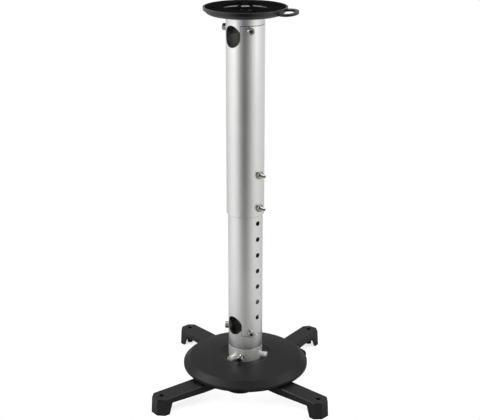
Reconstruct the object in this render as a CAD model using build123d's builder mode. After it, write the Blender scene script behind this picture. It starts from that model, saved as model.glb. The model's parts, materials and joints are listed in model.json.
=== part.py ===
from build123d import *

import os
from math import acos, cos, degrees, floor, radians, sin, tan

# Projector ceiling mount, standing as it hangs: ceiling face at Z = 0, mast downwards, toes lowest.
# All sizes in millimetres. Azimuths are degrees about +Z, counted from +X.

# Ceiling plate
PLATE_R = 50.9
PLATE_T = 3.2
PLATE_OPENING_R = 29.9
PLATE_HUB_R = 10.0
SPOKE_W = 8.0
SPOKE_COUNT = 3
SPOKE_AZIMUTH = 90.0
CEILING_PCD = 82.0
CEILING_HOLES = 4
CEILING_HOLE_R = 3.25
CEILING_HOLE_AZIMUTH = 15.0
PLATE_EDGE = 0.6

# Ceiling cover, a moulded dish with an eye for the cable
COVER_FIT = 0.3
COVER_SINK = 0.3
COVER_RIM_W = 2.4
COVER_RIM_H = 3.9
COVER_STEP = 1.4
COVER_DEPTH = 9.5
COVER_FLARE = 7.6
COVER_FLOOR_T = 1.8
LEDGE_W = 2.0
LEDGE_LIP = 0.8
EYE_R = 14.35
EYE_HOLE_R = 9.4
EYE_T = 2.6
EYE_OUT = 4.9
EYE_AZIMUTH = -27.5
EYE_TILT = 6.0
EYE_ROLL = -4.0
EYE_DROP = 3.5

# Mast tubes
OUTER_OD = 50.0
OUTER_WALL = 1.5
OUTER_LENGTH = 252.2
SLIDE_GAP = 0.3
INNER_WALL = 1.5
INNER_SHOWN = 171.8
INNER_HIDDEN = 180.5
TUBE_EDGE = 0.4

# Cable openings, the same in both tubes
CABLE_AZIMUTH = -135.0
CABLE_W = 25.0
UPPER_SLOT_DEPTH = 28.1
UPPER_ARCH_TOP = 0.2
LOWER_SLOT_DEPTH = 26.3
LOWER_ARCH_TOP = 0.1
TONGUE_GAP = 0.3
TONGUE_LENGTH = 7.5

# Height lock
LOCK_AZIMUTH = -45.0
LOCK_PITCH = 22.6
LOCK_HOLE_R = 3.3
LOCK_FROM_END = 12.1
HOLE_FROM_BOTTOM = 20.0
HOLE_FROM_TOP = 6.0
LOCK_SPACING = 2
LOCK_SCREW_R = 2.0
LOCK_SCREW_LENGTH = 12.5
LOCK_SCREW_TIP = 0.6
LOCK_NUT_AF = 9.5
LOCK_NUT_T = 3.6
THREAD_FIT = 0.05

# Collars
UPPER_NECK_H = 21.3
FLANGE_W = 8.0
FLANGE_T = 3.0
WELL_STEP = 1.0
WELL_DEPTH = 10.0
WELL_FLOOR_T = 3.0
COLLAR_BOSS_R = 9.0
COLLAR_BOSS_LENGTH = 4.0
PLUG_FIT = 0.1
PLUG_WALL = 3.4
UPPER_PLUG_H = 15.7
LOWER_PLUG_H = 12.5
COLLAR_SCREWS = 3
UPPER_SCREW_AZIMUTH = -76.0
LOWER_SCREW_AZIMUTH = -73.5
UPPER_SCREW_DROP = 5.9
LOWER_SCREW_RISE = 3.9

# Screws: shank radius, head radius, head height, socket width across flats, socket depth
M4 = (2.0, 3.4, 3.2, 3.0, 1.8)
M5 = (2.5, 4.6, 4.8, 4.0, 2.4)
M6 = (3.0, 5.0, 6.0, 5.0, 3.0)
M6_LOW = (3.0, 5.2, 3.2, 4.0, 1.8)
HOLE_FIT = 0.2
HEAD_EDGE = 0.5
NUT_EDGE = 0.6
COLLAR_SCREW_LENGTH = 4.6
HUB_SCREW_LENGTH = 16.0
HUB_SCREW_HEAD_R = 5.6
CUP_SCREW_LENGTH = 11.0
CUP_SCREW_HEAD_R = 3.8
SUNK_DEPTH = 0.2
CUP_LOCK_LENGTH = 10.5
CUP_LOCK_OUT = 8.3

# Ball joint between the lower collar and the cup
BALL_DROP = 35.7
BALL_PROUD = 4.6
CUP_WALL = 3.2
BALL_EDGE = 0.8
JOINT_GAP = 0.2
LINER_T = 0.3
LINER_W = 5.0
LINER_INSET = 4.7
TILT = 15.0
BOLT_PLAY = 0.6
SADDLE_ANGLE = 50.0
SADDLE_RIM = 1.5
TENSION_NUT_AF = 10.0
TENSION_NUT_T = 5.0
BOLT_STICKS_OUT = 2.2
WASHER_T = 1.2
WASHER_R = 6.4
FACE_GAP = 0.1

# Cup lugs and screws
CUP_HEIGHT = 15.0
LUG_COUNT = 3
LUG_AZIMUTH = -15.0
LUG_R = 4.5
LUG_OUT = 7.8
LUG_DROP = 0.2
LUG_COLUMN_R = 4.0
CUP_LOCK_AZIMUTH = -101.5
CUP_LOCK_RISE = 5.4

# Cover disc
DISC_R = 85.9
DISC_RIM_H = 3.7
DISC_T = 2.0
BEVEL_W = 9.0
BEVEL_H = 7.0
CROWN_H = 11.8
CROWN_W = 4.3
CROWN_BULGE = 0.8
DISC_OPENING_GAP = 2.2
DISC_LIP_H = 1.0
LIP_BEND = 6.0
FUNNEL_DROP = 2.2
FUNNEL_GAP = 0.8
FUNNEL_T = 1.6
LUG_SLOT_GAP = 0.5
DISC_SEAT_W = 2.6

# Carrier plate
CARRIER_INSET = 1.9
CARRIER_T = 2.0
EAR_R = 20.0
# Ears: azimuth, and how far each shows beyond the cover disc
EARS = ((22.0, 5.5), (144.0, 3.0), (264.0, 2.2))
CARRIER_LIP = 2.0

# Arms: distance from the clamp screw to the outer hole, as each arm is set
FRONT_LEFT_REACH = 76.2
FRONT_RIGHT_REACH = 71.7
REAR_LEFT_REACH = 75.6
REAR_RIGHT_REACH = 77.9
# Name, azimuth of the clamp screw, turn of the arm from it, and that distance
ARMS = (
    ("front_left", 221.3, -3.1, FRONT_LEFT_REACH),
    ("front_right", 309.6, 7.4, FRONT_RIGHT_REACH),
    ("rear_left", 118.5, 13.5, REAR_LEFT_REACH),
    ("rear_right", 44.3, 9.7, REAR_RIGHT_REACH),
)
CLAMP_INSET = 17.9
ARM_W = 26.0
ARM_END = 11.0
ARM_CORNER = 7.0
ARM_TOP_T = 3.0
ARM_WALL = 2.6
ARM_SIDE_OUTER = 8.0
ARM_SIDE_INNER = 10.5
ARM_SIDE_RAMP = 60.0
ARM_DRAFT = 3.0
ARM_EDGE = 1.6
ARM_SLOT_START = 57.0
ARM_SLOT_END = 93.0
SLOT_FIT = 0.3
ARM_BEYOND_SLOT = 12.0
ARM_HOLE_R = 3.1
ARM_GAP = 0.2
TOE_H = 23.0
TOE_FOOT = 3.0
TOE_TOP = 8.5
BOSS_R = 4.0
BOSS_LIFT = 0.3
CLAMP_WASHER_R = 8.0
CLAMP_NUT_AF = 10.0
CLAMP_NUT_T = 5.0
CLAMP_STICKS_OUT = 1.6

# Heights and radii that follow from the sizes above
outer_r = OUTER_OD / 2
outer_bore_r = outer_r - OUTER_WALL
inner_r = outer_bore_r - SLIDE_GAP
inner_bore_r = inner_r - INNER_WALL
cable_r = CABLE_W / 2
outer_top_z = -UPPER_NECK_H
outer_end_z = outer_top_z - OUTER_LENGTH
inner_end_z = outer_end_z - INNER_SHOWN
inner_top_z = outer_end_z + INNER_HIDDEN
ball_z = inner_end_z - BALL_DROP
carrier_top_z = ball_z - CUP_HEIGHT
carrier_end_z = carrier_top_z - CARRIER_T
arm_top_z = carrier_end_z - ARM_GAP
lower_lock_z = outer_end_z + LOCK_FROM_END
upper_lock_z = lower_lock_z + LOCK_SPACING * LOCK_PITCH
ball_r = inner_r + BALL_PROUD
ball_inner_r = inner_r - CUP_WALL
liner_inner_r = ball_r + JOINT_GAP
liner_outer_r = liner_inner_r + LINER_T
socket_r = liner_outer_r + JOINT_GAP
liner_r = inner_r - LINER_INSET
flange_r = outer_r + FLANGE_W
lug_reach = inner_r + LUG_OUT
opening_r = lug_reach + DISC_OPENING_GAP
crown_r = opening_r + CROWN_W
carrier_r = DISC_R - CARRIER_INSET
carrier_hole_r = ball_inner_r - CARRIER_LIP
clamp_circle_r = DISC_R - CLAMP_INSET
# The two tilts together lean further than one of them alone
lean = degrees(acos(cos(radians(TILT)) ** 2))


def radial_plane(azimuth, z, reach=0.0):
    """Plane facing outwards from the mast's axis, its Y upwards."""
    outwards = Vector(cos(radians(azimuth)), sin(radians(azimuth)), 0)
    sideways = Vector(-sin(radians(azimuth)), cos(radians(azimuth)), 0)
    return Plane(origin=outwards * reach + Vector(0, 0, z), x_dir=sideways, z_dir=outwards)


def around(count, first):
    """Azimuths of evenly spaced pieces."""
    return [first + index * 360 / count for index in range(count)]


def keep(part, name):
    """Names a finished piece and writes it."""
    part.label = name
    export_step(part, f"parts/{name}.step")


def cap_screw(seat, size, length):
    """Socket head screw whose head stands on a plane and whose shank runs into it."""
    shank_r, head_r, head_h, socket, socket_depth = size
    with BuildPart() as screw:
        with BuildSketch(seat):
            Circle(head_r)
        extrude(amount=head_h)
        chamfer(screw.faces().sort_by(Axis(seat.origin, seat.z_dir))[-1].edges(), HEAD_EDGE)
        with BuildSketch(seat):
            Circle(shank_r)
        extrude(amount=-length)
        with BuildSketch(seat.offset(head_h)):
            RegularPolygon(socket / 2, 6, major_radius=False)
        extrude(amount=-socket_depth, mode=Mode.SUBTRACT)
    return screw.part


def sunk_screw(seat, shank_r, head_r, length, socket):
    """Countersunk screw: its flat head lies on the plane and the rest runs into it."""
    with BuildPart() as screw:
        with BuildSketch(seat):
            Circle(head_r)
        extrude(amount=-(head_r - shank_r), taper=45)
        with BuildSketch(seat):
            Circle(shank_r)
        extrude(amount=-length)
        with BuildSketch(seat):
            RegularPolygon(socket / 2, 6, major_radius=False)
        extrude(amount=-socket / 2, mode=Mode.SUBTRACT)
    return screw.part


def hex_nut(seat, across_flats, thickness, bore_r):
    """Hexagon nut standing on a plane, with its corners turned off."""
    corner_r = across_flats / 2 / cos(radians(30))
    with BuildPart() as nut:
        with BuildSketch(seat):
            RegularPolygon(across_flats / 2, 6, major_radius=False)
        extrude(amount=thickness)
        with BuildSketch(seat):
            Circle(corner_r + thickness - NUT_EDGE)
        extrude(amount=thickness, taper=45, mode=Mode.INTERSECT)
        with BuildSketch(seat):
            Circle(bore_r)
        extrude(amount=thickness, mode=Mode.SUBTRACT)
    return nut.part


def washer(seat, radius, bore_r, thickness):
    """Flat washer standing on a plane."""
    with BuildPart() as ring:
        with BuildSketch(seat):
            Circle(radius)
            Circle(bore_r, mode=Mode.SUBTRACT)
        extrude(amount=thickness)
    return ring.part


os.makedirs("parts", exist_ok=True)

# Ceiling plate: a steel ring with screw holes, and spokes that carry the hub
hub_screw_r = M6[0]
with BuildPart() as ceiling_plate:
    with BuildSketch(Plane.XY.offset(-PLATE_T)):
        Circle(PLATE_R)
        Circle(PLATE_OPENING_R, mode=Mode.SUBTRACT)
        Circle(PLATE_HUB_R)
        for azimuth in around(SPOKE_COUNT, SPOKE_AZIMUTH):
            Rectangle(
                (PLATE_OPENING_R + PLATE_R) / 2, SPOKE_W, rotation=azimuth, align=(Align.MIN, Align.CENTER)
            )
        with PolarLocations(CEILING_PCD / 2, CEILING_HOLES, start_angle=CEILING_HOLE_AZIMUTH):
            Circle(CEILING_HOLE_R, mode=Mode.SUBTRACT)
    extrude(amount=PLATE_T)
    rims = ceiling_plate.edges().filter_by(GeomType.CIRCLE)
    chamfer(rims.filter_by(lambda edge: edge.radius > PLATE_OPENING_R + PLATE_EDGE), PLATE_EDGE)
    with Locations((0, 0, -SUNK_DEPTH)):
        CounterSinkHole(hub_screw_r + HOLE_FIT, HUB_SCREW_HEAD_R + HOLE_FIT, counter_sink_angle=90)
    with BuildSketch(Plane.XY.offset(-SUNK_DEPTH)):
        Circle(HUB_SCREW_HEAD_R + HOLE_FIT)
    extrude(amount=SUNK_DEPTH, mode=Mode.SUBTRACT)
keep(ceiling_plate.part, "ceiling_plate")

# Ceiling cover: the plate lies on its ledge and the collar's neck passes its floor
rim_r = PLATE_R + COVER_FIT + COVER_RIM_W
rim_inner_r = PLATE_R + COVER_FIT
shell_r = rim_r - COVER_STEP
floor_r = rim_r - COVER_FLARE
rim_top_z = -COVER_SINK
rim_end_z = rim_top_z - COVER_RIM_H
ledge_r = rim_inner_r - LEDGE_W
cover_end_z = -COVER_DEPTH
cover_floor_z = cover_end_z + COVER_FLOOR_T
with BuildPart() as ceiling_cover:
    with BuildSketch(Plane.XZ):
        with BuildLine():
            Polyline((outer_r + COVER_FIT, cover_end_z), (floor_r, cover_end_z))
            RadiusArc((floor_r, cover_end_z), (shell_r, rim_end_z), -COVER_DEPTH)
            Polyline(
                (shell_r, rim_end_z),
                (rim_r, rim_end_z),
                (rim_r, rim_top_z),
                (rim_inner_r, rim_top_z),
                (rim_inner_r, -PLATE_T),
                (ledge_r, -PLATE_T),
                (ledge_r, -PLATE_T - LEDGE_LIP),
            )
            RadiusArc(
                (ledge_r, -PLATE_T - LEDGE_LIP),
                (floor_r - COVER_FLOOR_T, cover_floor_z),
                COVER_DEPTH - COVER_FLOOR_T,
            )
            Polyline(
                (floor_r - COVER_FLOOR_T, cover_floor_z),
                (outer_r + COVER_FIT, cover_floor_z),
                (outer_r + COVER_FIT, cover_end_z),
            )
        make_face()
    revolve(axis=Axis.Z)
    eye_centre = radial_plane(EYE_AZIMUTH, rim_top_z - EYE_DROP, rim_r + EYE_OUT).origin
    eye_up = Vector(0, 0, 1).rotate(Axis.X, EYE_TILT).rotate(Axis.Y, EYE_ROLL)
    eye_plane = Plane(origin=eye_centre, x_dir=Vector(0, 1, 0).cross(eye_up), z_dir=eye_up)
    with BuildSketch(eye_plane.offset(-EYE_T / 2)):
        Circle(EYE_R)
        Circle(EYE_HOLE_R, mode=Mode.SUBTRACT)
    extrude(amount=EYE_T)
    with BuildSketch(Plane.XY.offset(cover_floor_z)):
        Circle(ledge_r)
    extrude(amount=-cover_floor_z, mode=Mode.SUBTRACT)
    with BuildSketch(Plane.XY.offset(-PLATE_T)):
        Circle(rim_inner_r)
    extrude(amount=PLATE_T, mode=Mode.SUBTRACT)
keep(ceiling_cover.part, "ceiling_cover")

# Upper collar: flange under the plate, well around the threaded boss, neck, and plug in the outer tube
plug_r = outer_bore_r - PLUG_FIT
plug_bore_r = plug_r - PLUG_WALL
well_r = plug_bore_r + WELL_STEP
plug_end_z = outer_top_z - UPPER_PLUG_H
flange_end_z = -PLATE_T - FLANGE_T
well_floor_z = -PLATE_T - WELL_DEPTH
well_end_z = well_floor_z - WELL_FLOOR_T
upper_slot_z = outer_top_z - UPPER_SLOT_DEPTH + cable_r
upper_arch_z = outer_top_z - UPPER_ARCH_TOP - cable_r
upper_screw_z = outer_top_z - UPPER_SCREW_DROP
tongue_w = CABLE_W - 2 * TONGUE_GAP
with BuildPart() as upper_collar:
    with BuildSketch(Plane.XZ):
        Polygon(
            (0, -PLATE_T),
            (COLLAR_BOSS_R, -PLATE_T),
            (COLLAR_BOSS_R, well_floor_z),
            (well_r, well_floor_z),
            (well_r, -PLATE_T),
            (flange_r, -PLATE_T),
            (flange_r, flange_end_z),
            (outer_r, flange_end_z),
            (outer_r, outer_top_z + TUBE_EDGE),
            (outer_r - TUBE_EDGE, outer_top_z),
            (plug_r, outer_top_z),
            (plug_r, plug_end_z),
            (plug_bore_r, plug_end_z),
            (plug_bore_r, well_end_z),
            (COLLAR_BOSS_R, well_end_z),
            (COLLAR_BOSS_R, well_end_z - COLLAR_BOSS_LENGTH),
            (0, well_end_z - COLLAR_BOSS_LENGTH),
            align=None,
        )
    revolve(axis=Axis.Z)
    with BuildSketch(Plane.XY.offset(outer_top_z + TUBE_EDGE)):
        Circle(outer_r)
        Circle(plug_bore_r, mode=Mode.SUBTRACT)
        Rectangle(
            OUTER_OD, tongue_w, rotation=CABLE_AZIMUTH, align=(Align.MIN, Align.CENTER), mode=Mode.INTERSECT
        )
    extrude(amount=-TUBE_EDGE - TONGUE_LENGTH)
    with BuildSketch(radial_plane(CABLE_AZIMUTH, upper_arch_z)):
        Circle(cable_r)
        Rectangle(CABLE_W, UPPER_PLUG_H, align=(Align.CENTER, Align.MAX))
    extrude(amount=OUTER_OD, mode=Mode.SUBTRACT)
    for azimuth in around(COLLAR_SCREWS, UPPER_SCREW_AZIMUTH):
        with BuildSketch(radial_plane(azimuth, upper_screw_z)):
            Circle(M5[0] + THREAD_FIT)
        extrude(amount=OUTER_OD, mode=Mode.SUBTRACT)
    with BuildSketch(Plane.XY):
        Circle(hub_screw_r + THREAD_FIT)
    extrude(amount=-OUTER_OD, mode=Mode.SUBTRACT)
keep(upper_collar.part, "upper_collar")

hub_screw = sunk_screw(Plane.XY.offset(-SUNK_DEPTH), hub_screw_r, HUB_SCREW_HEAD_R, HUB_SCREW_LENGTH, M6[3])
keep(hub_screw, "hub_screw")

# Outer tube: cable slot open at its top, collar screw holes, tapped holes for the lock screws
with BuildPart() as outer_tube:
    with BuildSketch(Plane.XY.offset(outer_end_z)):
        Circle(outer_r)
        Circle(outer_bore_r, mode=Mode.SUBTRACT)
    extrude(amount=OUTER_LENGTH)
    rims = outer_tube.edges().filter_by(GeomType.CIRCLE)
    chamfer(rims.filter_by(lambda edge: edge.radius > outer_bore_r), TUBE_EDGE)
    with BuildSketch(radial_plane(CABLE_AZIMUTH, upper_slot_z)):
        Circle(cable_r)
        Rectangle(CABLE_W, OUTER_OD, align=(Align.CENTER, Align.MIN))
    extrude(amount=OUTER_OD, mode=Mode.SUBTRACT)
    for azimuth in around(COLLAR_SCREWS, UPPER_SCREW_AZIMUTH):
        with BuildSketch(radial_plane(azimuth, upper_screw_z)):
            Circle(M5[0] + HOLE_FIT)
        extrude(amount=OUTER_OD, mode=Mode.SUBTRACT)
    for height in (lower_lock_z, upper_lock_z):
        with BuildSketch(radial_plane(LOCK_AZIMUTH, height)):
            Circle(LOCK_SCREW_R + THREAD_FIT)
        extrude(amount=OUTER_OD, mode=Mode.SUBTRACT)
keep(outer_tube.part, "outer_tube")

upper_screws = [
    cap_screw(radial_plane(azimuth, upper_screw_z, outer_r), M5, COLLAR_SCREW_LENGTH)
    for azimuth in around(COLLAR_SCREWS, UPPER_SCREW_AZIMUTH)
]
keep(Compound(children=upper_screws), "upper_collar_screws")

# Lock screws, backed off as far as their jam nuts show them, with tips just outside the inner tube
lock_tip_r = outer_bore_r
for height, name in ((lower_lock_z, "lower"), (upper_lock_z, "upper")):
    with BuildPart() as lock_screw:
        with BuildSketch(radial_plane(LOCK_AZIMUTH, height, lock_tip_r)):
            Circle(LOCK_SCREW_R)
        extrude(amount=LOCK_SCREW_LENGTH)
        chamfer(lock_screw.edges().filter_by(GeomType.CIRCLE), LOCK_SCREW_TIP)
        with BuildSketch(radial_plane(LOCK_AZIMUTH, height, lock_tip_r + LOCK_SCREW_LENGTH)):
            RegularPolygon(LOCK_SCREW_R / 2, 6, major_radius=False)
        extrude(amount=-LOCK_SCREW_R, mode=Mode.SUBTRACT)
    keep(lock_screw.part, f"{name}_lock_screw")
    lock_nut = hex_nut(
        radial_plane(LOCK_AZIMUTH, height, outer_r), LOCK_NUT_AF, LOCK_NUT_T, LOCK_SCREW_R + THREAD_FIT
    )
    keep(lock_nut, f"{name}_lock_nut")

# Inner tube: row of lock holes, and a cable slot open at its lower end
lower_slot_z = inner_end_z + LOWER_SLOT_DEPTH - cable_r
lower_arch_z = inner_end_z + LOWER_ARCH_TOP + cable_r
lower_screw_z = inner_end_z + LOWER_SCREW_RISE
holes_below = floor((lower_lock_z - inner_end_z - HOLE_FROM_BOTTOM) / LOCK_PITCH)
holes_above = floor((inner_top_z - HOLE_FROM_TOP - lower_lock_z) / LOCK_PITCH)
with BuildPart() as inner_tube:
    with BuildSketch(Plane.XY.offset(inner_end_z)):
        Circle(inner_r)
        Circle(inner_bore_r, mode=Mode.SUBTRACT)
    extrude(amount=INNER_SHOWN + INNER_HIDDEN)
    rims = inner_tube.edges().filter_by(GeomType.CIRCLE)
    chamfer(rims.filter_by(lambda edge: edge.radius > inner_bore_r), TUBE_EDGE)
    with BuildSketch(radial_plane(CABLE_AZIMUTH, lower_slot_z)):
        Circle(cable_r)
        Rectangle(CABLE_W, OUTER_OD, align=(Align.CENTER, Align.MAX))
    extrude(amount=OUTER_OD, mode=Mode.SUBTRACT)
    for azimuth in around(COLLAR_SCREWS, LOWER_SCREW_AZIMUTH):
        with BuildSketch(radial_plane(azimuth, lower_screw_z)):
            Circle(M5[0] + HOLE_FIT)
        extrude(amount=OUTER_OD, mode=Mode.SUBTRACT)
    with BuildSketch(radial_plane(LOCK_AZIMUTH, lower_lock_z)):
        for step in range(-holes_below, holes_above + 1):
            with Locations((0, step * LOCK_PITCH)):
                Circle(LOCK_HOLE_R)
    extrude(amount=OUTER_OD, mode=Mode.SUBTRACT)
keep(inner_tube.part, "inner_tube")

# Lower collar: plug and tongue in the inner tube, and the hollow half of the ball joint below
lower_plug_r = inner_bore_r - PLUG_FIT
lower_plug_bore_r = lower_plug_r - PLUG_WALL
with BuildPart() as lower_collar:
    with BuildSketch(Plane.XZ):
        with BuildLine():
            socket_end = degrees(acos(inner_r / socket_r))
            socket = CenterArc((0, ball_z), socket_r, socket_end, 90 - socket_end)
            Polyline(
                socket @ 0,
                (inner_r, inner_end_z - TUBE_EDGE),
                (inner_r - TUBE_EDGE, inner_end_z),
                (lower_plug_r, inner_end_z),
                (lower_plug_r, inner_end_z + LOWER_PLUG_H),
                (lower_plug_bore_r, inner_end_z + LOWER_PLUG_H),
                (lower_plug_bore_r, inner_end_z),
                (0, inner_end_z),
                socket @ 1,
            )
        make_face()
    revolve(axis=Axis.Z)
    with BuildSketch(Plane.XY.offset(inner_end_z - TUBE_EDGE)):
        Circle(inner_r)
        Circle(lower_plug_bore_r, mode=Mode.SUBTRACT)
        Rectangle(
            OUTER_OD, tongue_w, rotation=CABLE_AZIMUTH, align=(Align.MIN, Align.CENTER), mode=Mode.INTERSECT
        )
    extrude(amount=TUBE_EDGE + TONGUE_LENGTH)
    with BuildSketch(radial_plane(CABLE_AZIMUTH, lower_arch_z)):
        Circle(cable_r)
        Rectangle(CABLE_W, LOWER_PLUG_H, align=(Align.CENTER, Align.MIN))
    extrude(amount=OUTER_OD, mode=Mode.SUBTRACT)
    for azimuth in around(COLLAR_SCREWS, LOWER_SCREW_AZIMUTH):
        with BuildSketch(radial_plane(azimuth, lower_screw_z)):
            Circle(M5[0] + THREAD_FIT)
        extrude(amount=OUTER_OD, mode=Mode.SUBTRACT)
    with BuildSketch(Plane.XY.offset(inner_end_z)):
        Circle(M6[0] + HOLE_FIT)
    extrude(amount=-BALL_DROP, mode=Mode.SUBTRACT)
keep(lower_collar.part, "lower_collar")

lower_screws = [
    cap_screw(radial_plane(azimuth, lower_screw_z, inner_r), M5, COLLAR_SCREW_LENGTH)
    for azimuth in around(COLLAR_SCREWS, LOWER_SCREW_AZIMUTH)
]
keep(Compound(children=lower_screws), "lower_collar_screws")

# Tension bolt on the mast's axis, with its washers and nut
saddle_r = ball_inner_r - JOINT_GAP
saddle_edge_r = saddle_r * sin(radians(SADDLE_ANGLE))
saddle_edge_z = ball_z + saddle_r * cos(radians(SADDLE_ANGLE))
saddle_end_z = saddle_edge_z - SADDLE_RIM
tension_nut_z = saddle_end_z - TENSION_NUT_T
bolt_seat_z = inner_end_z + FACE_GAP + WASHER_T
tension_washer = washer(Plane.XY.offset(inner_end_z + FACE_GAP), WASHER_R, M6[0] + HOLE_FIT, WASHER_T)
keep(tension_washer, "tension_washer")

tension_bolt = cap_screw(Plane.XY.offset(bolt_seat_z), M6, bolt_seat_z - tension_nut_z + BOLT_STICKS_OUT)
keep(tension_bolt, "tension_bolt")

with BuildPart() as saddle_washer:
    with BuildSketch(Plane.XZ):
        with BuildLine():
            dome = CenterArc((0, ball_z), saddle_r, 90 - SADDLE_ANGLE, SADDLE_ANGLE)
            Polyline(dome @ 0, (saddle_edge_r, saddle_end_z), (0, saddle_end_z), dome @ 1)
        make_face()
    revolve(axis=Axis.Z)
    with BuildSketch(Plane.XY.offset(saddle_end_z)):
        Circle(M6[0] + HOLE_FIT)
    extrude(amount=saddle_r, mode=Mode.SUBTRACT)
keep(saddle_washer.part, "saddle_washer")

tension_nut = hex_nut(Plane.XY.offset(tension_nut_z), TENSION_NUT_AF, TENSION_NUT_T, M6[0] + THREAD_FIT)
keep(tension_nut, "tension_nut")

# Friction liner, a ring cut from a thin ball
with BuildPart() as joint_liner:
    with BuildSketch(Plane.XZ):
        with BuildLine():
            near_axis = degrees(acos((liner_r - LINER_W) / liner_outer_r))
            far_edge = degrees(acos(liner_r / liner_outer_r))
            over = CenterArc((0, ball_z), liner_outer_r, far_edge, near_axis - far_edge)
            under = CenterArc((0, ball_z), liner_inner_r, far_edge, near_axis - far_edge)
            Line(over @ 0, under @ 0)
            Line(over @ 1, under @ 1)
        make_face()
    revolve(axis=Axis.Z)
keep(joint_liner.part, "joint_liner")

# Ball cup: dome, open inside, with a cone that leaves room for the bolt when it tilts, and three lugs
lug_z = ball_z - LUG_DROP
lug_column_r = lug_reach - LUG_R
play_low = ball_inner_r / 2
play_r = (M6[0] + BOLT_PLAY) / cos(radians(lean))
with BuildPart() as ball_cup:
    with BuildSketch(Plane.XZ):
        with BuildLine():
            edge_angle = degrees(acos(inner_r / ball_r))
            outside = CenterArc((0, ball_z), ball_r, edge_angle, 90 - edge_angle)
            inside = CenterArc((0, ball_z), ball_inner_r, 0, 90)
            Polyline(
                outside @ 0,
                (inner_r, carrier_top_z),
                (ball_inner_r, carrier_top_z),
                inside @ 0,
            )
            Line(inside @ 1, outside @ 1)
        make_face()
    revolve(axis=Axis.Z)
    cup_edge = ball_cup.edges().filter_by(GeomType.CIRCLE).filter_by(
        lambda edge: abs(edge.radius - inner_r) < PLUG_FIT and edge.center().Z > ball_z
    )
    fillet(cup_edge, BALL_EDGE)
    with BuildSketch(Plane.XZ):
        Polygon(
            (0, ball_z + play_low),
            (play_r + play_low * tan(radians(lean)), ball_z + play_low),
            (play_r + ball_r * tan(radians(lean)), ball_z + ball_r),
            (0, ball_z + ball_r),
            align=None,
        )
    revolve(axis=Axis.Z, mode=Mode.SUBTRACT)
    for azimuth in around(LUG_COUNT, LUG_AZIMUTH):
        lug_base_r = (ball_inner_r + inner_r) / 2
        with BuildSketch(radial_plane(azimuth, lug_z, lug_base_r)):
            Circle(LUG_R)
        extrude(amount=lug_reach - lug_base_r)
        with BuildSketch(Plane.XY.offset(carrier_top_z)):
            with PolarLocations(lug_column_r, 1, start_angle=azimuth):
                Circle(LUG_COLUMN_R)
        extrude(amount=lug_z - carrier_top_z)
    with BuildSketch(Plane.XY.offset(carrier_top_z)):
        Circle(ball_inner_r)
    extrude(amount=CUP_HEIGHT, mode=Mode.SUBTRACT)
    with BuildSketch(Plane.XY.offset(carrier_top_z)):
        with PolarLocations(lug_column_r, LUG_COUNT, start_angle=LUG_AZIMUTH):
            Circle(M4[0] + THREAD_FIT)
    extrude(amount=CUP_SCREW_LENGTH, mode=Mode.SUBTRACT)
    with BuildSketch(radial_plane(CUP_LOCK_AZIMUTH, ball_z + CUP_LOCK_RISE)):
        Circle(M5[0] + THREAD_FIT)
    extrude(amount=OUTER_OD, mode=Mode.SUBTRACT)
keep(ball_cup.part, "ball_cup")

cup_lock_screw = cap_screw(
    radial_plane(CUP_LOCK_AZIMUTH, ball_z + CUP_LOCK_RISE, inner_r + CUP_LOCK_OUT), M5, CUP_LOCK_LENGTH
)
keep(cup_lock_screw, "cup_lock_screw")

# Carrier plate: a steel disc with three ears, holes for the clamp screws and sunk holes for the cup screws
with BuildPart() as carrier_plate:
    with BuildSketch(Plane.XY.offset(carrier_end_z)):
        Circle(carrier_r)
        for azimuth, shown in EARS:
            with PolarLocations(DISC_R + shown - EAR_R, 1, start_angle=azimuth):
                Circle(EAR_R)
        Circle(carrier_hole_r, mode=Mode.SUBTRACT)
        for name, azimuth, swing, reach in ARMS:
            with PolarLocations(clamp_circle_r, 1, start_angle=azimuth):
                Circle(M6_LOW[0] + THREAD_FIT, mode=Mode.SUBTRACT)
    extrude(amount=CARRIER_T)
    for azimuth in around(LUG_COUNT, LUG_AZIMUTH):
        centre = radial_plane(azimuth, carrier_end_z, lug_column_r).origin
        with Locations(Plane(origin=centre, x_dir=(1, 0, 0), z_dir=(0, 0, -1))):
            CounterSinkHole(M4[0] + HOLE_FIT, CUP_SCREW_HEAD_R + HOLE_FIT, counter_sink_angle=90)
keep(carrier_plate.part, "carrier_plate")

cup_screws = [
    sunk_screw(
        Plane(
            origin=radial_plane(azimuth, carrier_end_z, lug_column_r).origin,
            x_dir=(1, 0, 0),
            z_dir=(0, 0, -1),
        ),
        M4[0],
        CUP_SCREW_HEAD_R,
        CUP_SCREW_LENGTH,
        M4[3],
    )
    for azimuth in around(LUG_COUNT, LUG_AZIMUTH)
]
keep(Compound(children=cup_screws), "cup_screws")

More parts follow.
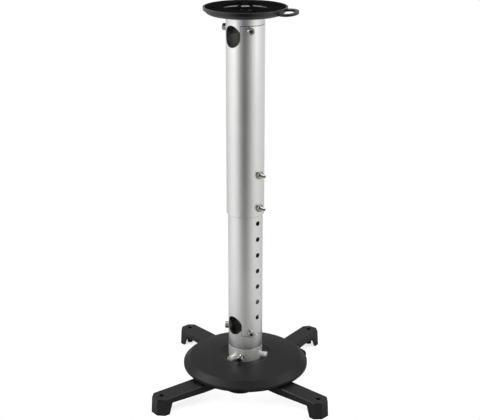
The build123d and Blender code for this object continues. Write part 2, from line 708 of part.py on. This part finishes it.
# Cover disc: a domed shell whose rim stands on the carrier plate, sunk towards the cup and slotted for lugs
disc_rim_z = carrier_top_z + DISC_RIM_H
bevel_r = DISC_R - BEVEL_W
bevel_z = disc_rim_z + BEVEL_H
crown_z = disc_rim_z + CROWN_H
lip_z = crown_z - DISC_LIP_H
funnel_r = inner_r + FUNNEL_GAP
funnel_z = lip_z - FUNNEL_DROP
dome_r = (bevel_r + crown_r) / 2
dome_z = (bevel_z + crown_z) / 2 + CROWN_BULGE
with BuildPart() as cover_disc:
    with BuildSketch(Plane.XZ):
        with BuildLine():
            Polyline(
                (DISC_R - DISC_SEAT_W, carrier_top_z),
                (DISC_R, carrier_top_z),
                (DISC_R, disc_rim_z),
                (bevel_r, bevel_z),
            )
            ThreePointArc((bevel_r, bevel_z), (dome_r, dome_z), (crown_r, crown_z))
            RadiusArc((crown_r, crown_z), (opening_r, lip_z), -LIP_BEND)
            Polyline(
                (opening_r, lip_z),
                (funnel_r, funnel_z),
                (funnel_r, funnel_z - FUNNEL_T),
                (opening_r, lip_z - DISC_T),
                (crown_r, crown_z - DISC_T),
            )
            ThreePointArc((crown_r, crown_z - DISC_T), (dome_r, dome_z - DISC_T), (bevel_r, bevel_z - DISC_T))
            Polyline(
                (bevel_r, bevel_z - DISC_T),
                (DISC_R - DISC_SEAT_W, disc_rim_z - DISC_T / 2),
                (DISC_R - DISC_SEAT_W, carrier_top_z),
            )
        make_face()
    revolve(axis=Axis.Z)
    with BuildSketch(Plane.XY.offset(carrier_top_z)):
        for azimuth in around(LUG_COUNT, LUG_AZIMUTH):
            Rectangle(
                lug_reach + LUG_SLOT_GAP,
                2 * (LUG_R + LUG_SLOT_GAP),
                rotation=azimuth,
                align=(Align.MIN, Align.CENTER),
            )
    extrude(amount=lip_z - carrier_top_z, mode=Mode.SUBTRACT)
keep(cover_disc.part, "cover_disc")

# Four arms on their clamp screws, each with washer and nut below the arm's top wall
for name, azimuth, swing, reach in ARMS:
    heading = azimuth + swing
    clamp_point = radial_plane(azimuth, carrier_top_z, clamp_circle_r).origin
    outwards = Vector(cos(radians(heading)), sin(radians(heading)), 0)
    hole_point = Vector(clamp_point.X, clamp_point.Y, arm_top_z) + outwards * reach
    arm_top = Plane(origin=hole_point, x_dir=outwards, z_dir=(0, 0, 1))
    arm_side = Plane(origin=hole_point, x_dir=outwards, z_dir=Vector(0, 0, 1).cross(outwards) * -1)
    inner_end = -(ARM_SLOT_END + ARM_BEYOND_SLOT)
    half_w = ARM_W / 2
    corner_x = ARM_END - ARM_CORNER
    corner_y = half_w - ARM_CORNER
    with BuildPart() as arm:
        with BuildSketch(arm_top):
            outline = Polygon(
                (inner_end, -half_w),
                (corner_x, -half_w),
                (ARM_END, -corner_y),
                (ARM_END, corner_y),
                (corner_x, half_w),
                (inner_end, half_w),
                align=None,
            )
        extrude(amount=-TOE_H, taper=-ARM_DRAFT)
        with BuildSketch(arm_side):
            Polygon(
                (inner_end - ARM_END, 0),
                (2 * ARM_END, 0),
                (2 * ARM_END, -TOE_H),
                (-TOE_FOOT, -TOE_H),
                (-TOE_TOP, -ARM_SIDE_OUTER),
                (-ARM_SIDE_RAMP, -ARM_SIDE_INNER),
                (inner_end - ARM_END, -ARM_SIDE_INNER),
                align=None,
            )
        extrude(amount=ARM_W, both=True, mode=Mode.INTERSECT)
        fillet(arm.faces().sort_by(Axis.Z)[-1].edges(), ARM_EDGE)
        with BuildSketch(arm_top.offset(-ARM_TOP_T)):
            Polygon(
                (inner_end, -half_w),
                (corner_x, -half_w),
                (ARM_END, -corner_y),
                (ARM_END, corner_y),
                (corner_x, half_w),
                (inner_end, half_w),
                align=None,
            )
            offset(amount=-ARM_WALL, kind=Kind.INTERSECTION)
        extrude(amount=-TOE_H, taper=-ARM_DRAFT, mode=Mode.SUBTRACT)
        with BuildSketch(arm_top.offset(-ARM_TOP_T)):
            Circle(BOSS_R)
        extrude(amount=-(TOE_H - BOSS_LIFT - ARM_TOP_T))
        with BuildSketch(arm_top):
            Circle(ARM_HOLE_R)
            with Locations((-(ARM_SLOT_START + ARM_SLOT_END) / 2, 0)):
                SlotCenterToCenter(ARM_SLOT_END - ARM_SLOT_START, 2 * (M6_LOW[0] + SLOT_FIT))
        extrude(amount=-TOE_H, mode=Mode.SUBTRACT)
    keep(arm.part, f"{name}_arm")

    clamp_seat = Plane(origin=clamp_point, x_dir=outwards, z_dir=(0, 0, 1))
    washer_drop = carrier_top_z - arm_top_z + ARM_TOP_T + FACE_GAP + WASHER_T
    nut_drop = washer_drop + CLAMP_NUT_T
    clamp_screw = cap_screw(clamp_seat.offset(FACE_GAP), M6_LOW, nut_drop + CLAMP_STICKS_OUT)
    keep(clamp_screw, f"{name}_clamp_screw")
    clamp_washer = washer(clamp_seat.offset(-washer_drop), CLAMP_WASHER_R, M6_LOW[0] + HOLE_FIT, WASHER_T)
    keep(clamp_washer, f"{name}_clamp_washer")
    clamp_nut = hex_nut(clamp_seat.offset(-nut_drop), CLAMP_NUT_AF, CLAMP_NUT_T, M6_LOW[0] + THREAD_FIT)
    keep(clamp_nut, f"{name}_clamp_nut")
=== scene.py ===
import json
import math

import bpy
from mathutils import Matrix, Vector


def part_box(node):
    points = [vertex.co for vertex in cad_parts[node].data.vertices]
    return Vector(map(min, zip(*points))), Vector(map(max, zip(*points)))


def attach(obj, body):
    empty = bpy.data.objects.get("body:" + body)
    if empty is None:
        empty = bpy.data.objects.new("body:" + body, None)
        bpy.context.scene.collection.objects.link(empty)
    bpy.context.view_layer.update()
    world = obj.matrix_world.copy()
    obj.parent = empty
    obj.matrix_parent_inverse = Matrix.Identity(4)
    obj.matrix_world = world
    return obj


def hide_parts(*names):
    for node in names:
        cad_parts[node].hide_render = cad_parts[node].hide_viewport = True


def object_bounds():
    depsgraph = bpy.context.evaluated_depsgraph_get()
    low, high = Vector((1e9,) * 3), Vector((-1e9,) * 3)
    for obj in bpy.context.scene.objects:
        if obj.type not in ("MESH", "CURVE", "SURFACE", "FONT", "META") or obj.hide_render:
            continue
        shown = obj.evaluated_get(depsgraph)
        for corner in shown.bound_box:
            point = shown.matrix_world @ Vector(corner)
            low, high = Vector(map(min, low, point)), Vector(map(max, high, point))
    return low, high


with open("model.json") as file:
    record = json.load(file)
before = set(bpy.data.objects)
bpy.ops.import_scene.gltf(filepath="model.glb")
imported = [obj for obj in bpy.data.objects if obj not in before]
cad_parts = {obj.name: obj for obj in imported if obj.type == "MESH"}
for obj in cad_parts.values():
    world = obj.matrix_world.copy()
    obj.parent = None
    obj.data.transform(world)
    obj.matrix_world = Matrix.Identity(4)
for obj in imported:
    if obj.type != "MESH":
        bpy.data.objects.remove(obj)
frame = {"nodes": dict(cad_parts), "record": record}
cad_low, cad_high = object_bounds()
nodes = frame["nodes"]
scene = bpy.context.scene
scene.view_settings.view_transform = "Standard"

TOE_Z = cad_low.z
OUTER_TUBE_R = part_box("outer_tube")[1].x
INNER_TUBE_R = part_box("inner_tube")[1].x


# Shader nodes
def feed(tree, socket, value):
    """Links another node's output to a socket, or sets the socket to a plain value."""
    if isinstance(value, bpy.types.NodeSocket):
        tree.links.new(value, socket)
    else:
        socket.default_value = value


def add_math(tree, operation, *values):
    """A Math node; gives its output."""
    node = tree.nodes.new("ShaderNodeMath")
    node.operation = operation
    for socket, value in zip(node.inputs, values):
        feed(tree, socket, value)
    return node.outputs[0]


def add_vector_math(tree, operation, output, *values):
    """A Vector Math node; gives the output of that name."""
    node = tree.nodes.new("ShaderNodeVectorMath")
    node.operation = operation
    for socket, value in zip(node.inputs, values):
        feed(tree, socket, value)
    return node.outputs[output]


def add_range(tree, value, start, end, low=0, high=1, interpolation="LINEAR"):
    """A Map Range node from start..end to low..high; gives its output."""
    node = tree.nodes.new("ShaderNodeMapRange")
    node.interpolation_type = interpolation
    node.inputs["From Min"].default_value = start
    node.inputs["From Max"].default_value = end
    node.inputs["To Min"].default_value = low
    node.inputs["To Max"].default_value = high
    feed(tree, node.inputs["Value"], value)
    return node.outputs["Result"]


def add_mix(tree, kind, factor, first, second):
    """A Mix node of a data type; gives its output."""
    node = tree.nodes.new("ShaderNodeMix")
    node.data_type = kind
    feed(tree, node.inputs["Factor"], factor)
    feed(tree, node.inputs["A"], first)
    feed(tree, node.inputs["B"], second)
    return node.outputs["Result"]


def add_noise(tree, coords, scale, detail):
    """A Noise node on object coordinates; gives its value."""
    node = tree.nodes.new("ShaderNodeTexNoise")
    node.inputs["Scale"].default_value = scale
    node.inputs["Detail"].default_value = detail
    tree.links.new(coords.outputs["Object"], node.inputs["Vector"])
    return node.outputs["Fac"]


def axes_of(tree, vector):
    """The X, Y and Z outputs of a vector."""
    node = tree.nodes.new("ShaderNodeSeparateXYZ")
    tree.links.new(vector, node.inputs["Vector"])
    return node.outputs


# Materials
GRAIN_DETAIL = 3
GRAIN_HEIGHT = 0.0003
MOTTLE_SCALE = 28
MOTTLE_DETAIL = 4


def surface(
    name, color, metallic, roughness, grain, grain_depth, mottle, rough_var, specular=0.5, inside=()
):
    """A finish with a fine grain in the bump, slow mottling in the colour and uneven gloss.

    inside lists (radius, highest z, colour): painted shade, a darker colour nearer to the mast's axis than
    each radius, for the shade in seams and bores.
    """
    material = bpy.data.materials.new(name)
    material.use_nodes = True
    tree = material.node_tree
    shader = tree.nodes["Principled BSDF"]
    shader.inputs["Base Color"].default_value = (*color, 1)
    shader.inputs["Metallic"].default_value = metallic
    shader.inputs["Roughness"].default_value = roughness
    shader.inputs["Specular IOR Level"].default_value = specular
    coords = tree.nodes.new("ShaderNodeTexCoord")

    bump = tree.nodes.new("ShaderNodeBump")
    bump.inputs["Strength"].default_value = grain_depth
    bump.inputs["Distance"].default_value = GRAIN_HEIGHT
    feed(tree, bump.inputs["Height"], add_noise(tree, coords, grain, GRAIN_DETAIL))
    feed(tree, shader.inputs["Normal"], bump.outputs["Normal"])

    slow = add_noise(tree, coords, MOTTLE_SCALE, MOTTLE_DETAIL)
    darker = (*[level * (1 - mottle) for level in color], 1)
    lighter = (*[min(1, level * (1 + mottle)) for level in color], 1)
    painted = add_mix(tree, "RGBA", slow, darker, lighter)
    if inside:
        place = coords.outputs["Object"]
        flat = add_vector_math(tree, "MULTIPLY", "Vector", place, (1, 1, 0))
        from_axis = add_vector_math(tree, "LENGTH", "Value", flat)
        height = axes_of(tree, place)["Z"]
    # Painted shade: darker colours in the seams and bores
    for radius, top_z, shade_color in inside:
        near = add_math(tree, "LESS_THAN", from_axis, radius)
        below = add_math(tree, "LESS_THAN", height, top_z)
        painted = add_mix(tree, "RGBA", add_math(tree, "MULTIPLY", near, below), painted, (*shade_color, 1))
    feed(tree, shader.inputs["Base Color"], painted)
    gloss = add_range(tree, slow, 0, 1, roughness - rough_var, roughness + rough_var)
    feed(tree, shader.inputs["Roughness"], gloss)
    return material


def finish(color, metallic, roughness, grain, grain_depth, mottle, rough_var, specular=0.5):
    """The values of one finish, for surface."""
    return {
        "color": color,
        "metallic": metallic,
        "roughness": roughness,
        "grain": grain,
        "grain_depth": grain_depth,
        "mottle": mottle,
        "rough_var": rough_var,
        "specular": specular,
    }


SILVER = (0.76, 0.76, 0.75)
CASTING = (0.72, 0.72, 0.72)
TUBE = finish(SILVER, 1.0, 0.34, 2600, 0.30, 0.03, 0.03)
slots = {
    "silver_tube": surface("silver_tube", **TUBE),
    "silver_casting": surface("silver_casting", **finish(CASTING, 1.0, 0.36, 1500, 0.35, 0.05, 0.05)),
    "black_plate": surface(
        "black_plate", **finish((0.009, 0.009, 0.009), 0.0, 0.36, 1800, 0.20, 0.15, 0.06, 0.0)
    ),
    "black_cover": surface(
        "black_cover", **finish((0.012, 0.012, 0.012), 0.0, 0.42, 2200, 0.30, 0.10, 0.05, 0.20)
    ),
    "black_arm": surface(
        "black_arm", **finish((0.009, 0.009, 0.009), 0.0, 0.34, 1200, 0.40, 0.12, 0.06, 0.30)
    ),
    "nickel": surface("nickel", **finish((0.40, 0.385, 0.34), 1.0, 0.16, 900, 0.06, 0.10, 0.05)),
    "steel": surface("steel", **finish((0.56, 0.56, 0.55), 1.0, 0.34, 1400, 0.15, 0.08, 0.06)),
    "liner": surface("liner", **finish((0.72, 0.70, 0.64), 0.0, 0.50, 1200, 0.10, 0.04, 0.04)),
}
# Painted shade: the bores are darkened, and the seams and slot edges are painted dark, where shade falls in
# them
SKIN = 0.0001
EDGE_BAND = 0.0007
ANY_HEIGHT = 0
WELL_TOP_Z = -0.0165
SEAM_SHADE = (0.05, 0.05, 0.048)


def bore_shade(tube_r, top_z, shade_color):
    """The dark seams and the dull bore of what has a tube's outline."""
    # Painted shade for what has a tube's outline: dark seams and slot edges, and a darkened bore.
    return ((tube_r - SKIN, top_z, SEAM_SHADE), (tube_r - EDGE_BAND, top_z, shade_color))


# The bore colours given below are painted shade inside the bores, and the ball cup's dark band is painted
# shade in the joint's gap
own = {
    "outer_tube": surface("outer_tube", **TUBE, inside=bore_shade(OUTER_TUBE_R, ANY_HEIGHT, (0.60, 0.59, 0.56))),
    "inner_tube": surface("inner_tube", **TUBE, inside=bore_shade(INNER_TUBE_R, ANY_HEIGHT, (0.70, 0.69, 0.66))),
    "upper_collar": surface(
        "upper_collar",
        **finish(CASTING, 1.0, 0.38, 1500, 0.35, 0.05, 0.05),
        inside=bore_shade(OUTER_TUBE_R, WELL_TOP_Z, (0.30, 0.30, 0.28)),
    ),
    # Painted shade: the lower collar is the same casting as the upper one, in a darker colour for the
    # shadowed floor it mirrors
    "lower_collar": surface(
        "lower_collar",
        **finish((0.65, 0.65, 0.65), 1.0, 0.30, 1500, 0.35, 0.05, 0.05),
        inside=bore_shade(INNER_TUBE_R, ANY_HEIGHT, (0.40, 0.40, 0.38)),
    ),
    "ball_cup": surface(
        "ball_cup",
        **finish((0.76, 0.76, 0.74), 0.55, 0.36, 1500, 0.35, 0.05, 0.05),
        inside=((INNER_TUBE_R - SKIN, ANY_HEIGHT, SEAM_SHADE),),
    ),
    "ceiling_cover": surface(
        "ceiling_cover", **finish((0.006, 0.006, 0.006), 0.0, 0.24, 2200, 0.25, 0.10, 0.05, 0.50)
    ),
    "hub_screw": surface("hub_screw", **finish((0.50, 0.49, 0.46), 1.0, 0.50, 900, 0.10, 0.10, 0.05)),
}
# Painted shade: the screws' sockets are painted dark where shade falls in them
socket_shade = surface("socket_shade", **finish((0.05, 0.05, 0.045), 1.0, 0.45, 900, 0.20, 0.10, 0.05))
slot_of = {part["node"]: part["material_slot"] for part in frame["record"]["subparts"]}
body_of = {node: body for body, members in frame["record"]["behaviour"]["bodies"].items() for node in members}
CRISP_EDGE = math.radians(32)


def finish_mesh(mesh, material):
    """Gives a mesh its material and smooth shading with crisp edges."""
    mesh.materials.clear()
    mesh.materials.append(material)
    mesh.polygons.foreach_set("use_smooth", [True] * len(mesh.polygons))
    mesh.set_sharp_from_angle(angle=CRISP_EDGE)


for name, slot in slot_of.items():
    finish_mesh(nodes[name].data, own.get(name, slots[slot]))


# Screws whose threads and sockets show
THREAD_SIDES = 24
THREAD_DEPTH = 0.6


def screw(verts, faces, hollow, tip, along, whole, size, head):
    """Adds one socket screw from its tip along its axis, and the numbers of its socket's faces to hollow.

    size is (radius, pitch, tip edge, socket width, socket depth), head is (radius, height, edge) or None.
    """
    radius, pitch, tip_edge, socket, socket_depth = size
    side = along.orthogonal().normalized()
    up = along.cross(side)
    shank = whole - (head[1] if head else 0)

    def add_point(position, distance, turn):
        verts.append(tip + along * position + (side * math.cos(turn) + up * math.sin(turn)) * distance)

    def add_ring(position, distance, hexagon=False):
        first = len(verts)
        for step in range(THREAD_SIDES):
            turn = 2 * math.pi * step / THREAD_SIDES
            flat = math.cos(turn % (math.pi / 3) - math.pi / 6) if hexagon else 1
            add_point(position, distance / flat, turn)
        return range(first, first + THREAD_SIDES)

    def join(lower, upper):
        for a, b, c, d in zip(lower, [*lower[1:], lower[0]], [*upper[1:], upper[0]], upper):
            faces.append((a, b, c, d))

    start = len(verts)
    steps = (math.ceil(shank / pitch) + 1) * THREAD_SIDES
    for step in range(steps + 1):
        turn = 2 * math.pi * step / THREAD_SIDES
        for lift, distance in ((-1, radius - THREAD_DEPTH * pitch), (-0.5, radius)):
            position = min(max((step / THREAD_SIDES + lift) * pitch, 0), shank)
            reach = radius - tip_edge + position
            if not head:
                reach = min(reach, radius - tip_edge + shank - position)
            add_point(position, min(distance, reach), turn)
    for step in range(steps):
        a = start + 2 * step
        faces.append((a, a + 2, a + 3, a + 1))
        if step < steps - THREAD_SIDES:
            faces.append((a + 1, a + 3, a + 2 + 2 * THREAD_SIDES, a + 2 * THREAD_SIDES))
    faces.append(tuple(reversed(add_ring(0, radius - tip_edge))))
    if head:
        head_radius, head_height, head_edge = head
        seat = add_ring(shank, head_radius)
        faces.append(tuple(reversed(seat)))
        rim = add_ring(whole - head_edge, head_radius)
        join(seat, rim)
        top = add_ring(whole, head_radius - head_edge)
        join(rim, top)
    else:
        top = add_ring(whole, radius - tip_edge)
    mouth = add_ring(whole, socket / 2, True)
    join(top, mouth)
    first_hollow = len(faces)
    floor_ring = add_ring(whole - socket_depth, socket / 2, True)
    join(mouth, floor_ring)
    faces.append(tuple(floor_ring))
    hollow.extend(range(first_hollow, len(faces)))


OWN_SIDE = 0.01


def screws(node, directions, size, head=None):
    """Stands for a node of plain CAD screws: the same places and sizes, with cut threads and sockets painted
    dark as shade.
    """
    points = [vertex.co for vertex in nodes[node].data.vertices]
    verts, faces, hollow = [], [], []
    for along in directions:
        single = len(directions) == 1
        mine = [point for point in points if single or point.dot(along) > OWN_SIDE]
        low = Vector([min(point[axis] for point in mine) for axis in range(3)])
        high = Vector([max(point[axis] for point in mine) for axis in range(3)])
        reaches = [point.dot(along) for point in mine]
        middle = (low + high) / 2
        if not single:
            middle = along * max(reaches) + Vector((0, 0, middle.z))
        tip = middle + along * (min(reaches) - middle.dot(along))
        screw(verts, faces, hollow, tip, along, max(reaches) - min(reaches), size, head)
    mesh = bpy.data.meshes.new(node + "_threaded")
    mesh.from_pydata(verts, [], faces)
    finish_mesh(mesh, slots[slot_of[node]])
    # The socket faces get the painted shade
    mesh.materials.append(socket_shade)
    for index in hollow:
        mesh.polygons[index].material_index = 1
    piece = bpy.data.objects.new(node + "_threaded", mesh)
    scene.collection.objects.link(piece)
    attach(piece, body_of[node])
    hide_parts(node)


def outwards(node):
    """Direction from the mast's axis through the middle of a radial screw."""
    low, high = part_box(node)
    return Vector((low.x + high.x, low.y + high.y, 0)).normalized()


def thirds(azimuth):
    """Three directions around the mast's axis, the first at an azimuth in degrees."""
    turns = [math.radians(azimuth + 120 * step) for step in range(3)]
    return [Vector((math.cos(turn), math.sin(turn), 0)) for turn in turns]


M4_SET = (0.002, 0.0007, 0.0006, 0.002, 0.002)
M5_CAP = (0.0025, 0.0008, 0.0003, 0.004, 0.0024)
M5_HEAD = (0.0046, 0.0048, 0.0005)
M6_CAP = (0.003, 0.001, 0.0003, 0.005, 0.003)
M6_HEAD = (0.005, 0.006, 0.0005)
M6_LOW_CAP = (0.003, 0.001, 0.0003, 0.004, 0.0018)
M6_LOW_HEAD = (0.0052, 0.0032, 0.0005)
UPPER_SCREWS_AZIMUTH = -76
LOWER_SCREWS_AZIMUTH = -73.5
UPWARDS = Vector((0, 0, 1))
screws("lower_lock_screw", [outwards("lower_lock_screw")], M4_SET)
screws("upper_lock_screw", [outwards("upper_lock_screw")], M4_SET)
screws("upper_collar_screws", thirds(UPPER_SCREWS_AZIMUTH), M5_CAP, M5_HEAD)
screws("lower_collar_screws", thirds(LOWER_SCREWS_AZIMUTH), M5_CAP, M5_HEAD)
screws("cup_lock_screw", [outwards("cup_lock_screw")], M5_CAP, M5_HEAD)
screws("tension_bolt", [UPWARDS], M6_CAP, M6_HEAD)
for arm in ("front_left", "front_right", "rear_left", "rear_right"):
    screws(arm + "_clamp_screw", [UPWARDS], M6_LOW_CAP, M6_LOW_HEAD)


# Floor
FLOOR_R = 0.50
FLOOR_SIDES = 96
FLOOR_ROUGHNESS = 0.9
FLOOR_SHADE = (0.80, 0.80, 0.80, 1)
FLOOR_LIFT = 0.72
CENTRE_BAND = (0.03, 0.25)
MIRRORED_LEVELS = (0.44, 0.84)
FADE_START = FLOOR_R * 0.42
FADE_END = FLOOR_R * 0.96
NEAR_MAST_R = 0.03
NEAR_MAST_END_R = 0.13
COVER_REACH = 0.12
COVER_SAMPLES = 8
COVERED_LEVEL = 0.5
OPEN_LEVEL = 0.95


def floor_material():
    """Pale floor that keeps the shadow near the object and lets the backdrop be seen farther out."""
    material = bpy.data.materials.new("floor")
    material.use_nodes = True
    tree = material.node_tree
    shader = tree.nodes["Principled BSDF"]
    shader.inputs["Roughness"].default_value = FLOOR_ROUGHNESS
    shader.inputs["Specular IOR Level"].default_value = 0.0
    shader.inputs["Emission Color"].default_value = (1, 1, 1, 1)
    path = tree.nodes.new("ShaderNodeLightPath").outputs
    place = tree.nodes.new("ShaderNodeNewGeometry").outputs

    # The metal mirrors a floor that is dimmer in front of and behind the object
    aside = add_math(tree, "ABSOLUTE", axes_of(tree, place["Position"])["X"])
    mirrored = add_range(tree, aside, *CENTRE_BAND, *MIRRORED_LEVELS)
    shade = add_mix(tree, "RGBA", path["Is Glossy Ray"], FLOOR_SHADE, mirrored)
    feed(tree, shader.inputs["Base Color"], shade)
    lift = add_math(tree, "MULTIPLY", path["Is Camera Ray"], FLOOR_LIFT)
    feed(tree, shader.inputs["Emission Strength"], lift)

    # In the open, by the mast and from below the camera sees what lies beyond the floor
    far = add_vector_math(tree, "DISTANCE", "Value", place["Position"], (0, 0, TOE_Z))
    covered = tree.nodes.new("ShaderNodeAmbientOcclusion")
    covered.samples = COVER_SAMPLES
    covered.inputs["Distance"].default_value = COVER_REACH
    see_through = add_range(tree, far, FADE_START, FADE_END, interpolation="SMOOTHSTEP")
    for other in (
        add_range(tree, covered.outputs["AO"], COVERED_LEVEL, OPEN_LEVEL, interpolation="SMOOTHSTEP"),
        add_range(tree, far, NEAR_MAST_END_R, NEAR_MAST_R, interpolation="SMOOTHSTEP"),
        place["Backfacing"],
    ):
        see_through = add_math(tree, "MAXIMUM", see_through, other)
    passed = add_math(tree, "MULTIPLY", see_through, path["Is Camera Ray"])
    for ray in ("Is Shadow Ray", "Is Diffuse Ray"):
        passed = add_math(tree, "MAXIMUM", passed, path[ray])
    mix = tree.nodes.new("ShaderNodeMixShader")
    clear = tree.nodes.new("ShaderNodeBsdfTransparent")
    feed(tree, mix.inputs["Fac"], passed)
    feed(tree, mix.inputs[1], shader.outputs["BSDF"])
    feed(tree, mix.inputs[2], clear.outputs["BSDF"])
    feed(tree, tree.nodes["Material Output"].inputs["Surface"], mix.outputs["Shader"])
    return material


bpy.ops.mesh.primitive_circle_add(
    vertices=FLOOR_SIDES, radius=FLOOR_R, fill_type="NGON", location=(0, 0, TOE_Z)
)
floor = bpy.context.object
floor.name = "floor"
floor.data.materials.append(floor_material())

# The studio that the metal mirrors: levels around the object, from the front towards +X
AROUND = (
    (-180, 0.6),
    (-125, 0.9),
    (-95, 1.18),
    (-60, 1.16),
    (-18, 0.11),
    (6, 0.11),
    (54, 0.95),
    (80, 0.97),
    (125, 0.85),
    (180, 0.8),
)
DIM_LEVEL = 0.42
BEHIND = (0.1, 0.7)
ABOVE = (-0.15, 0.0)
DOWNWARDS = (-0.44, -0.16)
DOWNWARDS_LEVELS = (0.62, 1.06)
EVEN_LEVEL = 0.38
BACKDROP_LEVEL = 1.0


def studio_world():
    """Camera rays see white, glossy rays the studio, other rays an even light."""
    world = bpy.data.worlds.new("studio")
    world.use_nodes = True
    tree = world.node_tree
    background = tree.nodes["Background"]
    background.inputs["Color"].default_value = (1, 1, 1, 1)
    coords = tree.nodes.new("ShaderNodeTexCoord")
    axes = axes_of(tree, coords.outputs["Generated"])
    path = tree.nodes.new("ShaderNodeLightPath").outputs

    azimuth = add_math(tree, "ARCTAN2", axes["X"], add_math(tree, "MULTIPLY", axes["Y"], -1))
    ramp = tree.nodes.new("ShaderNodeValToRGB")
    while len(ramp.color_ramp.elements) < len(AROUND):
        ramp.color_ramp.elements.new(0.5)
    for element, (degrees, level) in zip(ramp.color_ramp.elements, AROUND):
        element.position = (degrees + 180) / 360
        element.color = (level, level, level, 1)
    feed(tree, ramp.inputs["Fac"], add_range(tree, azimuth, -math.pi, math.pi))

    # Behind the object and above the horizon the studio is dim, so level tops stay dark
    behind = add_range(tree, axes["Y"], *BEHIND, interpolation="SMOOTHSTEP")
    above = add_range(tree, axes["Z"], *ABOVE, interpolation="SMOOTHSTEP")
    # Towards the floor it is dimmer too
    sink = add_range(tree, axes["Z"], *DOWNWARDS, *DOWNWARDS_LEVELS)
    ring = add_math(tree, "MULTIPLY", ramp.outputs["Color"], sink)
    mirrored = add_mix(tree, "FLOAT", add_math(tree, "MULTIPLY", behind, above), ring, DIM_LEVEL)
    unseen = add_mix(tree, "FLOAT", path["Is Glossy Ray"], EVEN_LEVEL, mirrored)
    strength = add_mix(tree, "FLOAT", path["Is Camera Ray"], unseen, BACKDROP_LEVEL)
    feed(tree, background.inputs["Strength"], strength)
    return world


scene.world = studio_world()

# Soft rectangular lamps: name, place, target, size, power
LAMPS = (
    ("key", (-1.7, -0.9, 0.7), (0, 0, -0.3), (0.9, 1.4), 15),
    ("fill", (1.8, -0.8, 0.5), (0, 0, -0.3), (0.9, 1.4), 8),
    ("top", (0.1, 0.9, 1.5), (0, 0, -0.4), (1.4, 1.4), 5),
    ("under", (0, -0.4, -2.0), (0, 0, -0.5), (1.6, 1.6), 14),
    ("left_edge", (-1.15, 0.15, 0.65), (0, 0, -0.5), (0.35, 0.35), 6),
    ("right_edge", (1.15, 0.15, 0.65), (0, 0, -0.5), (0.35, 0.35), 3),
)
for name, place, target, size, power in LAMPS:
    data = bpy.data.lights.new(name, "AREA")
    data.shape = "RECTANGLE"
    data.size, data.size_y = size
    data.energy = power
    lamp = bpy.data.objects.new(name, data)
    scene.collection.objects.link(lamp)
    lamp.location = place
    lamp.rotation_euler = (Vector(target) - Vector(place)).to_track_quat("-Z", "Y").to_euler()

# Camera
CAMERA_PLACE = (0, -1.40834, 0.22813)
CAMERA_DOWN = 19.505
CAMERA_LENS = 84.15
CAMERA_SHIFT = -0.01127
camera_data = bpy.data.cameras.new("camera")
camera_data.lens = CAMERA_LENS
camera_data.sensor_width = 36
camera_data.shift_x = CAMERA_SHIFT
camera = bpy.data.objects.new("camera", camera_data)
scene.collection.objects.link(camera)
camera.location = CAMERA_PLACE
camera.rotation_euler = (math.radians(90 - CAMERA_DOWN), 0, 0)
scene.camera = camera
